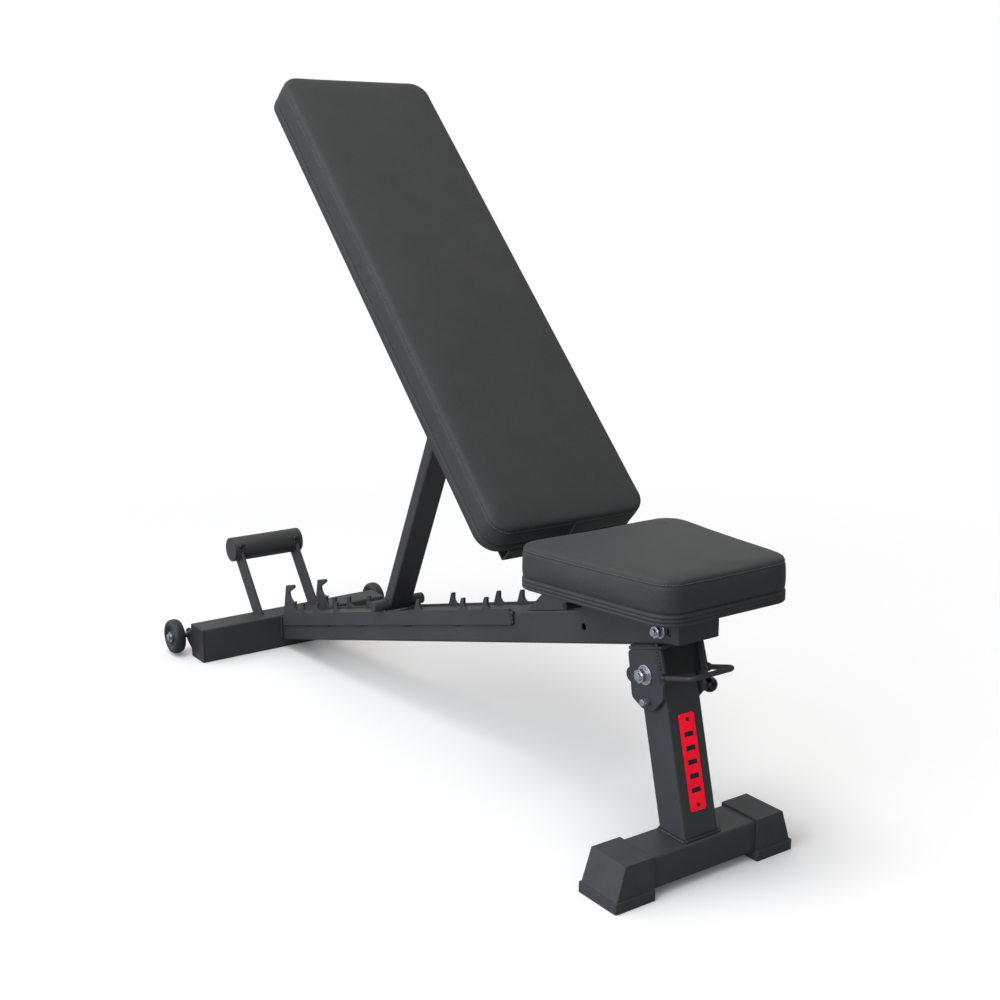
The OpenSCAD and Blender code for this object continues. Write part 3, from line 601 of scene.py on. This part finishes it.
ring_mid, ring_half = (TREAD_R + HUB_R) / 2, (TREAD_R - HUB_R) / 2
tyre_section = [(RECESS - WHEEL_HALF, HUB_R - LAP)]
for i in range(4, 29):
    turn = 2 * math.pi * i / 32
    across, outward = squared(math.sin(turn)), squared(math.cos(turn))
    tyre_section.append((-WHEEL_HALF * across, ring_mid - ring_half * outward))
tyre_section.append((WHEEL_HALF - RECESS, HUB_R - LAP))
disc = [(-0.0070, 0.0), (-0.0070, 0.0128), (-0.0064, 0.0134), (-0.0064, 0.0190), (-0.0058, 0.0198)]
disc += [(-a, r) for a, r in reversed(disc)]

for label in ("right", "left"):
    low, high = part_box("tyre_" + label)
    mid = (low + high) / 2
    o = mesh_object("tyre_rubber_" + label, *lathe(tyre_section, mid, (1, 0, 0), 72), MAT["tyre"])
    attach(o, "wheel_" + label)
    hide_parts("tyre_" + label)
    o = mesh_object("hub_disc_" + label, *lathe(disc, mid, (1, 0, 0), 48), MAT["plastic"], smooth=False)
    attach(o, "wheel_" + label)
    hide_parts("hub_" + label)

# ---------------------------------------------------------------- badge

BAR_TOP, BAR_STEP, BAR_COUNT = 145, 20.5, 5  # the bars' middles, in millimetres up the post
BAR_HALF, BAR_TALL = 8.5, 3.6  # half of a bar's width, and half of its height
BAR_BACK, BAR_FACE = -28.2, -28.85  # where a bar begins, and its front

bars = Pile()
for i in range(BAR_COUNT):
    up = BAR_TOP - BAR_STEP * i
    corners = [(-BAR_HALF, up - BAR_TALL), (BAR_HALF, up - BAR_TALL),
               (BAR_HALF, up + BAR_TALL), (-BAR_HALF, up + BAR_TALL)]
    bars.add([on_post(x, y, u) for y in (BAR_BACK, BAR_FACE) for x, u in corners],
             [(0, 1, 2, 3), (7, 6, 5, 4), (0, 4, 5, 1), (1, 5, 6, 2), (2, 6, 7, 3), (3, 7, 4, 0)])
o = bars.make("badge_bars", MAT["plastic"], smooth=False)
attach(o, "leg")

# ---------------------------------------------------------------- cushions

PUFF = 0.40  # share of the cloth solver's swelling that these taut pads show
SWELL_MOST = 0.0040  # the swelling levels off towards this, in metres
HELD_SHARE, EASE_SHARE = 0.30, 0.15  # shares of a pad's height that keep their shape, and ease into it
SEAM_GIVE = 0.55  # how much of the swelling reaches a seam
CROWN_FROM, CROWN_POWER = 0.9, 2.6  # share of the height where the crown begins, and its flatness
PUCKER, PUCKER_REACH = 0.00022, 4  # depth of the seams' puckers in metres, and their reach in rings
PER_CORNER = 14  # steps round each corner of a pad


def corner_of(corners, i):
    """Corner i of a convex polygon, the directions of its two sides, and half of its angle."""
    p, a, b = Vector(corners[i]), Vector(corners[i - 1]), Vector(corners[(i + 1) % len(corners)])
    da, db = (a - p).normalized(), (b - p).normalized()
    return p, da, db, math.acos(max(-1, min(1, da.dot(db)))) / 2


def fillet(corners, radius, per_corner, per_side):
    """Closed outline round convex corners: arcs of one radius, and evenly spaced sides."""
    n = len(corners)
    arcs = []
    for i in range(n):
        p, da, db, half = corner_of(corners, i)
        back = radius / math.tan(half)
        centre = p + (da + db).normalized() * (radius / math.sin(half))
        start, end = p + da * back - centre, p + db * back - centre
        a0 = math.atan2(start.y, start.x)
        turn = math.atan2(start.x * end.y - start.y * end.x, start.dot(end))
        turns = [a0 + turn * k / per_corner for k in range(per_corner + 1)]
        arcs.append([centre + Vector((math.cos(a), math.sin(a))) * radius for a in turns])
    out = []
    for arc, following, count in zip(arcs, arcs[1:] + arcs[:1], per_side):
        out += arc
        out += [arc[-1].lerp(following[0], k / count) for k in range(1, count)]
    return out


def inset_corners(corners, d):
    """Convex polygon's corners moved inwards by d."""
    out = []
    for i in range(len(corners)):
        p, da, db, half = corner_of(corners, i)
        out.append(p + (da + db).normalized() * (d / math.sin(half)))
    return out


def ring_solid(corners, radius, rings, per_corner, per_side, crown):
    """Side of a solid, as rings (inset, z) over a rounded convex plan. Returns it and a ring's length."""
    verts = []
    for inset, z in rings:
        r = max(radius - inset, 0.004)
        outline = fillet(inset_corners(corners, inset), r, per_corner, per_side)
        verts += [Vector((p.x, p.y, z + crown(p.x, p.y, z))) for p in outline]
    count = len(outline)
    return verts, band_faces(len(rings), count), count


def cap_with_grid(verts, faces, first, count, per_side, flip):
    """Fills one ring of a four-cornered plan with a grid between its corners' middle points."""
    mids = [PER_CORNER // 2]
    for n in per_side[:3]:
        mids.append(mids[-1] + PER_CORNER + n)

    def stretch(a, b):
        return [first + (mids[a] + k) % count for k in range((mids[b] - mids[a]) % count + 1)]

    bottom, right, top, left = stretch(0, 1), stretch(1, 2), stretch(2, 3)[::-1], stretch(3, 0)[::-1]
    rows, cols = len(right), len(bottom)
    grid = [bottom] + [[left[i]] + [None] * (cols - 2) + [right[i]] for i in range(1, rows - 1)] + [top]
    p00, p01, p10, p11 = (verts[i] for i in (bottom[0], bottom[-1], top[0], top[-1]))
    for i in range(1, rows - 1):
        for j in range(1, cols - 1):
            u, v = j / (cols - 1), i / (rows - 1)
            across = verts[left[i]].lerp(verts[right[i]], u)
            upward = verts[bottom[j]].lerp(verts[top[j]], v)
            flat = p00.lerp(p01, u).lerp(p10.lerp(p11, u), v)
            grid[i][j] = len(verts)
            verts.append(upward + across - flat)
    for low, high in zip(grid, grid[1:]):
        for j in range(cols - 1):
            f = (low[j], low[j + 1], high[j + 1], high[j])
            faces.append(tuple(reversed(f)) if flip else f)


def swell(name, corners, radius, height, voxel):
    """Inflates a plain pad with the cloth solver. Returns start points and how far each one moved."""
    start = [(0.0015, 0.0), (0.0015, height * 0.5), (0.0015, height - 0.008)]
    start += [(0.0035, height - 0.0035), (0.008, height - 0.001)]
    verts, faces, count = ring_solid(corners, radius, start, 10, [40] * 4, lambda *_: 0.0)
    faces.append(tuple(reversed(range(count))))
    faces.append(tuple(range(len(verts) - count, len(verts))))
    obj = mesh_object(name, verts, faces, MAT["vinyl"], smooth=False)
    rem = obj.modifiers.new("voxels", "REMESH")
    rem.mode = "VOXEL"
    rem.voxel_size = voxel
    deps = bpy.context.evaluated_depsgraph_get()
    me = bpy.data.meshes.new_from_object(obj.evaluated_get(deps))
    obj.modifiers.clear()
    plain = obj.data
    obj.data = me
    bpy.data.meshes.remove(plain)
    rest = np.array([v.co for v in me.vertices], float)
    held = [i for i, p in enumerate(rest) if p[2] < HELD_SHARE * height]
    obj.vertex_groups.new(name="held").add(held, 1.0, "REPLACE")
    cloth = obj.modifiers.new("fill", "CLOTH")
    st = cloth.settings
    st.quality = 5
    st.mass = 0.25
    st.tension_stiffness = 40
    st.compression_stiffness = 40
    st.shear_stiffness = 20
    st.bending_stiffness = 6
    st.use_pressure = True
    st.uniform_pressure_force = 4.0
    st.effector_weights.gravity = 0.0
    st.vertex_group_mass = "held"
    st.pin_stiffness = 1.0
    cloth.point_cache.frame_start = 1
    cloth.point_cache.frame_end = 20
    cloth.collision_settings.use_collision = False
    for f in range(1, 21):
        SCENE.frame_set(f)
    deps = bpy.context.evaluated_depsgraph_get()
    done = bpy.data.meshes.new_from_object(obj.evaluated_get(deps))
    move = np.array([v.co for v in done.vertices], float) - rest
    SCENE.frame_set(1)
    far = np.linalg.norm(move, axis=1)
    scale = np.where(far > 1e-9, SWELL_MOST * np.tanh(far / SWELL_MOST) / np.maximum(far, 1e-9), 0.0)
    bpy.data.objects.remove(obj)
    bpy.data.meshes.remove(me)
    bpy.data.meshes.remove(done)
    return rest, move * scale[:, None]


def carried(verts, rest, move):
    """Gives points of the finished cushion a share of the movement of the simulated points beside them."""
    tree = KDTree(len(rest))
    for i, p in enumerate(rest):
        tree.insert(p, i)
    tree.balance()
    out = []
    for v in verts:
        near = tree.find_n(v, 8)
        w = np.array([1.0 / (d + 0.002) ** 2 for _, _, d in near])
        m = (move[[i for _, i, _ in near]] * w[:, None]).sum(0) / w.sum()
        out.append(v + Vector(m) * PUFF)
    return out


# rings (inset, z) of every pad: the cover turns in under the board's edge and leaves its face bare
FLOOR_RINGS = [(0.045, 0.001), (0.03, 0.001), (0.018, 0.001), (0.009, 0.0)]
TOP_INSETS = (0.018, 0.026, 0.036, 0.048)


def make_cushion(name, body, node, pad):
    """Sewn pad, its seams being rings of its profile. Returns its points and a ring's length."""
    height, corners, per_side = pad["height"], pad["corners"], pad["per_side"]
    xs, ys = [c[0] for c in corners], [c[1] for c in corners]
    cx, cy = (min(xs) + max(xs)) / 2, (min(ys) + max(ys)) / 2
    hx, hy = (max(xs) - min(xs)) / 2, (max(ys) - min(ys)) / 2

    def crown(x, y, z):
        """How much the top face rises, most in its middle."""
        if z < height * CROWN_FROM:
            return 0.0
        ex = max(0.0, 1 - abs((x - cx) / hx) ** CROWN_POWER)
        ey = max(0.0, 1 - abs((y - cy) / hy) ** (CROWN_POWER * hy / hx))
        return pad["crown"] * ex * ey * min(1.0, (z - height * CROWN_FROM) / (height * (1 - CROWN_FROM)))

    rings = FLOOR_RINGS + pad["profile"] + [(inset, height) for inset in TOP_INSETS]
    verts, faces, count = ring_solid(corners, pad["radius"], rings, PER_CORNER, per_side, crown)
    side_end = len(verts)
    cap_with_grid(verts, faces, side_end - count, count, per_side, False)
    top_end = len(verts)
    cap_with_grid(verts, faces, 0, count, per_side, True)
    for v in verts[side_end:top_end]:
        v.z = height + crown(v.x, v.y, height)
    rest, move = swell(name + "_fill", corners, pad["radius"], height, pad["voxel"])
    for i, v in enumerate(carried(verts, rest, move)):
        k = min(1.0, max(0.0, (verts[i].z - HELD_SHARE * height) / (EASE_SHARE * height)))
        if i // count in pad["seam_rings"]:
            k *= SEAM_GIVE
        verts[i] = verts[i].lerp(v, k)
    # small puckers where the panels are stitched together
    for i in range(len(FLOOR_RINGS) * count, side_end):
        v = verts[i]
        near = max((0.0, *(1 - abs(i // count - s) / PUCKER_REACH for s in pad["seam_rings"])))
        along = v.x * 173.0 + v.y * 211.0  # two waves of unlike lengths, uneven along every side
        push = (math.sin(along * 1.7) + 0.6 * math.sin(along * 0.63 + 1.3)) * PUCKER * near
        verts[i] = v + Vector((v.x - cx, (v.y - cy) * hx / hy, 0)).normalized() * push
    obj = mesh_object(name, [pad["place"] @ v for v in verts], faces, MAT["vinyl"])
    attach(obj, body)
    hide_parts(node)
    return verts, count


THREAD_PITCH, THREAD_LENGTH, THREAD_R, THREAD_LIFT = 0.0046, 0.0034, 0.00034, 0.00022
JOIN_X, JOIN_RINGS, JOIN_R = 0.004, range(15, 23), 0.0007  # the short seam across the edge band


def stitches(pile, loop, outward):
    """Short threads laid along a closed loop of points, each bowed a little outward."""
    n = len(loop)
    seg = [(loop[(i + 1) % n] - loop[i]).length for i in range(n)]
    total = sum(seg)
    count = int(total / THREAD_PITCH)
    acc, i = 0.0, 0
    for k in range(count):
        want = k * total / count
        while acc + seg[i] < want:
            acc += seg[i]
            i += 1
        after = (i + 1) % n
        t = (want - acc) / seg[i]
        p = loop[i].lerp(loop[after], t)
        d = (loop[after] - loop[i]).normalized() * THREAD_LENGTH
        out = outward[i].lerp(outward[after], t).normalized()
        sunk, proud = out * THREAD_R * 0.9, out * THREAD_LIFT
        points = [p - d / 2 - sunk, p - d / 4 + proud, p + d / 4 + proud, p + d / 2 - sunk]
        radii = [THREAD_R * 0.7, THREAD_R, THREAD_R, THREAD_R * 0.7]
        pile.add(*tube_path(points, radii, 6))


def ring_normals(verts, count, ring):
    """Outward directions of a cushion's surface along one ring."""
    here = ring * count
    out = []
    for k in range(count):
        a = verts[here + (k + 1) % count] - verts[here + (k - 1) % count]
        b = verts[here + count + k] - verts[here - count + k]
        out.append(a.cross(b).normalized())
    return out


back_place = side_frame(joint_place("backrest_tilt"), BACK_ANGLE)
seat_place = side_frame(joint_place("seat_tilt"), SEAT_SLOPE)

# the profiles are (inset, z) in metres, up the outside and over the top edge; corners run from the
# front right one; seam rings and the stitched ring are counted over the floor rings and the profile
PADS = {
    "backrest": {
        "place": back_place @ Matrix.Translation((0, 0, 0.0113)),
        "corners": [(-0.1525, 0.0285), (0.1525, 0.0285), (0.1525, 0.9980), (-0.1525, 0.9980)],
        "radius": 0.036,
        "height": 0.059,
        "crown": 0.0035,
        "voxel": 0.006,
        "per_side": [48, 156, 48, 156],
        "seam_rings": (13, 23),
        "stitched": 25,
        "profile": [
            (0.0040, 0.0000), (0.0018, 0.0004), (0.0006, 0.0016), (0.0000, 0.0034), (0.0000, 0.0070),
            (0.0000, 0.0110), (0.0003, 0.0136), (0.0010, 0.0150), (0.0028, 0.0157), (0.0044, 0.0163),
            (0.0030, 0.0170), (0.0018, 0.0180), (0.0010, 0.0200), (0.0005, 0.0240), (0.0003, 0.0300),
            (0.0004, 0.0370), (0.0008, 0.0430), (0.0012, 0.0460), (0.0019, 0.0476), (0.0031, 0.0482),
            (0.0022, 0.0490), (0.0018, 0.0504), (0.0022, 0.0528), (0.0034, 0.0552), (0.0054, 0.0570),
            (0.0082, 0.0581), (0.0120, 0.0587),
        ],
    },
    "seat": {
        "place": seat_place @ Matrix.Translation((0, 0, 0.042)),
        "corners": [(-0.120, -0.105), (0.120, -0.105), (0.161, 0.198), (-0.161, 0.198)],
        "radius": 0.038,
        "height": 0.065,
        "crown": 0.0040,
        "voxel": 0.005,
        "per_side": [36, 46, 46, 46],
        "seam_rings": (18, 27),
        "stitched": 29,
        "profile": [
            (0.0040, 0.0000), (0.0016, 0.0004), (0.0003, 0.0016), (0.0000, 0.0030), (0.0004, 0.0046),
            (0.0016, 0.0054), (0.0003, 0.0062), (0.0000, 0.0082), (0.0003, 0.0102), (0.0016, 0.0110),
            (0.0003, 0.0118), (0.0000, 0.0136), (0.0004, 0.0154), (0.0016, 0.0164), (0.0040, 0.0171),
            (0.0028, 0.0180), (0.0016, 0.0192), (0.0009, 0.0220), (0.0004, 0.0280), (0.0003, 0.0370),
            (0.0005, 0.0460), (0.0010, 0.0518), (0.0016, 0.0546), (0.0028, 0.0558), (0.0022, 0.0567),
            (0.0021, 0.0582), (0.0028, 0.0606), (0.0042, 0.0626), (0.0066, 0.0638), (0.0100, 0.0645),
        ],
    },
}

sewn = {body: make_cushion(body + "_cushion", body, body + "_pad", pad) for body, pad in PADS.items()}
for body, pad in PADS.items():
    verts, count = sewn[body]
    place, ring = pad["place"], pad["stitched"]
    threads = Pile()
    stitches(threads, [place @ v for v in verts[ring * count:(ring + 1) * count]],
             [place.to_3x3() @ n for n in ring_normals(verts, count, ring)])
    if body == "backrest":
        # the edge band's ends meet in a short seam at the lower end, near the middle
        band = verts[18 * count:19 * count]
        end_k = min((k for k in range(count) if band[k].y < 0.1), key=lambda k: abs(band[k].x - JOIN_X))
        join = [place @ (verts[r * count + end_k] + Vector((0, -0.0002, 0))) for r in JOIN_RINGS]
        threads.add(*tube_path(join, JOIN_R, 6))
    o = threads.make(body + "_stitching", THREAD)
    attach(o, body)

# ---------------------------------------------------------------- camera, floor, light

LENS, SENSOR = 50.537, 36.0  # millimetres
YAW, PITCH, ROLL = 0.6172426, -0.2276721, 0.0037103
EYE = DATUM + Vector((-1.3237, -1.38244, 0.9937))

cam_data = bpy.data.cameras.new("camera")
cam = bpy.data.objects.new("camera", cam_data)
SCENE.collection.objects.link(cam)
SCENE.camera = cam
cam_data.lens = LENS
cam_data.sensor_width = SENSOR
cam_data.clip_start = 0.05
cam_data.clip_end = 100.0
fwd = Vector((math.sin(YAW) * math.cos(PITCH), math.cos(YAW) * math.cos(PITCH), math.sin(PITCH)))
right = Vector((math.cos(YAW), -math.sin(YAW), 0.0))
up = right.cross(fwd)
cr, sr = math.cos(ROLL), math.sin(ROLL)
right, up = right * cr + up * sr, up * cr - right * sr
cam.matrix_world = Matrix([(right[i], up[i], -fwd[i], EYE[i]) for i in range(3)] + [(0, 0, 0, 1)])

# how the studio is lit: strengths of the surround by direction, and the floor's own tones
SKY_TOP, SKY_BACK, SKY_BASE, SKY_LEFT = 0.68, 0.34, 0.02, 1.60
TOP_IN_FRONT = 0.4  # share of the top's strength that comes from the camera's side
FLOOR_GLOW, FLOOR_GAIN, FLOOR_BOUNCE = 0.03, 1.09, 0.32
FADE_FROM, FADE_TO = 0.9, 2.4  # metres from the bench over which the floor turns to plain white

paper = Shader("floor_paper")
tone = paper.noise(3.0, 2.0)
glow = paper.add("ShaderNodeEmission")
paper.link(paper.ramp(tone, [(0.3, (0.995, 0.995, 1.0)), (0.7, (1.0, 1.0, 1.0))]), glow.inputs["Color"])
glow.inputs["Strength"].default_value = FLOOR_GLOW
sheet = paper.add("ShaderNodeBsdfDiffuse")
sheet.inputs["Color"].default_value = (FLOOR_GAIN * 1.03, FLOOR_GAIN, FLOOR_GAIN * 0.98, 1)
both = paper.add("ShaderNodeAddShader")
paper.link(sheet.outputs[0], both.inputs[0])
paper.link(glow.outputs[0], both.inputs[1])
far = paper.add("ShaderNodeVectorMath", operation="LENGTH")
paper.link(paper.add("ShaderNodeNewGeometry").outputs["Position"], far.inputs[0])
fade = paper.spread(far.outputs["Value"], FADE_FROM, FADE_TO, 0.0, 1.0, interpolation_type="SMOOTHSTEP")
white = paper.add("ShaderNodeEmission")
dull = paper.add("ShaderNodeBsdfDiffuse")
dull.inputs["Color"].default_value = (FLOOR_BOUNCE, FLOOR_BOUNCE, FLOOR_BOUNCE, 1)


def mix_shader(tree, share, first, second):
    """Mixes two nodes' shaders by a 0..1 socket."""
    n = tree.nodes.new("ShaderNodeMixShader")
    tree.links.new(share, n.inputs["Fac"])
    tree.links.new(first.outputs[0], n.inputs[1])
    tree.links.new(second.outputs[0], n.inputs[2])
    return n


# the camera sees the bright paper, and the bench is lit by a duller one
cove = mix_shader(paper.t, fade, both, white)
by_camera = paper.add("ShaderNodeLightPath").outputs["Is Camera Ray"]
paper.link(mix_shader(paper.t, by_camera, dull, cove).outputs[0], paper.out.inputs["Surface"])
floor = mesh_object("floor", [(-30, -30, 0), (30, -30, 0), (30, 30, 0), (-30, 30, 0)], [(0, 1, 2, 3)],
                    paper.m, smooth=False)
floor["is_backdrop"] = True

world = bpy.data.worlds.new("studio")
SCENE.world = world
world.use_nodes = True
wt = world.node_tree
wt.nodes.clear()


def world_math(operation, a, b):
    return math_node(wt, operation, a, b)


def background(colour, strength=1.0):
    """Plain surround. strength is a number or a socket."""
    n = wt.nodes.new("ShaderNodeBackground")
    n.inputs["Color"].default_value = (*colour, 1)
    if isinstance(strength, (int, float)):
        n.inputs["Strength"].default_value = strength
    else:
        wt.links.new(strength, n.inputs["Strength"])
    return n


w_dir = wt.nodes.new("ShaderNodeSeparateXYZ")
wt.links.new(wt.nodes.new("ShaderNodeTexCoord").outputs["Generated"], w_dir.inputs[0])
wx, wy, wz = w_dir.outputs
to_left = world_math("POWER", world_math("MAXIMUM", world_math("MULTIPLY", wx, -1.0), 0.0), 1.3)
to_top = world_math("MAXIMUM", wz, 0.0)
to_back = world_math("ADD", world_math("MULTIPLY", wy, 0.5), 0.5)
front_dim = world_math("ADD", world_math("MULTIPLY", to_back, 1 - TOP_IN_FRONT), TOP_IN_FRONT)
from_top = world_math("MULTIPLY", world_math("MULTIPLY", to_top, SKY_TOP), front_dim)
plain = world_math("ADD", from_top, world_math("MULTIPLY", to_back, SKY_BACK))
plain = world_math("ADD", plain, SKY_BASE)

# the camera sees plain white, and the bench is lit by a soft surround with a cool side on the left
lit = wt.nodes.new("ShaderNodeAddShader")
cool = world_math("MULTIPLY", to_left, SKY_LEFT)
wt.links.new(background((1.0, 0.99, 0.975), plain).outputs[0], lit.inputs[0])
wt.links.new(background((0.76, 0.88, 1.0), cool).outputs[0], lit.inputs[1])
by_camera = wt.nodes.new("ShaderNodeLightPath").outputs["Is Camera Ray"]
surround = mix_shader(wt, by_camera, lit, background((1, 1, 1)))
wt.links.new(surround.outputs[0], wt.nodes.new("ShaderNodeOutputWorld").inputs["Surface"])


def area_light(name, place, target, size, power, colour=(1, 1, 1)):
    """Square light box, in watts, unseen by the camera."""
    data = bpy.data.lights.new(name, "AREA")
    data.shape = "SQUARE"
    data.size = size
    data.energy = power
    data.color = colour
    obj = bpy.data.objects.new(name, data)
    SCENE.collection.objects.link(obj)
    obj.location = place
    obj.rotation_mode = "QUATERNION"
    obj.rotation_quaternion = (Vector(target) - Vector(place)).to_track_quat("-Z", "Y")
    obj.visible_camera = False
    return obj


area_light("left_box", (-2.3, -0.9, 1.5), (0, -0.2, 0.4), size=1.1, power=12, colour=(0.86, 0.93, 1.0))
area_light("top_box", (-0.9, -0.4, 3.4), (0, -0.2, 0.3), size=1.2, power=26, colour=(1.0, 0.985, 0.965))
badge_box = area_light("badge_box", (-0.5, -1.7, 0.9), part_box("badge_plate")[0], size=0.6, power=15)
badge_only = bpy.data.collections.new("badge_only")
for name in ("badge_plate", "badge_screws"):
    badge_only.objects.link(NODES[name])
badge_box.light_linking.receiver_collection = badge_only

SCENE.view_settings.view_transform = "Standard"
SCENE.view_settings.look = "None"
SCENE.view_settings.exposure = 0.0
SCENE.view_settings.gamma = 1.0

low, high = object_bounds()
